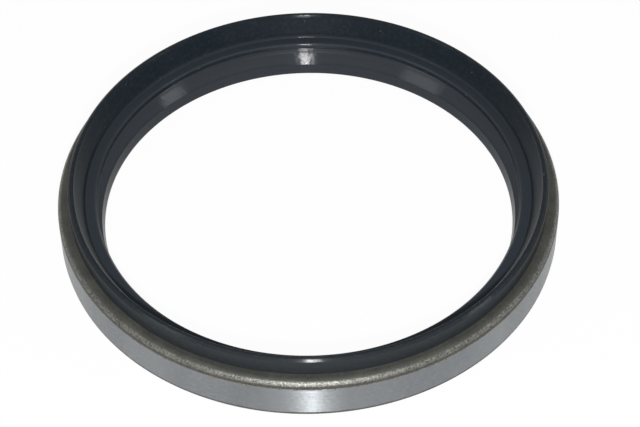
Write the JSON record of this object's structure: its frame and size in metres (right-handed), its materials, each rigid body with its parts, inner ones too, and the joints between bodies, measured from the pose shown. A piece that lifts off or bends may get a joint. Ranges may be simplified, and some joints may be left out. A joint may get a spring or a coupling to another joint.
{
  "type": "radial shaft seal",
  "caption": "Metal-cased radial shaft seal: ground L-section steel ring, moulded rubber sealing lip with garter spring, dust lip and raised rubber rim.",
  "frame": {"origin": "on the seal's axis, in the plane of the case's lower edge, the oil side", "axes": "+Z along the axis, towards the air side that shows in the picture"},
  "size_m": [0.12, 0.12, 0.0156],
  "materials": {
    "case_steel": "outside wall ground bright, bend and inside left with a dull olive bonding coat",
    "seal_rubber": "moulded, semi-gloss, with a little dust",
    "spring_steel": "drawn spring wire, lightly oiled"
  },
  "bodies": {
    "root": {"steel_case": "case_steel", "rubber_lip_ring": "seal_rubber", "garter_spring": "spring_steel"}
  },
  "joints": []
}
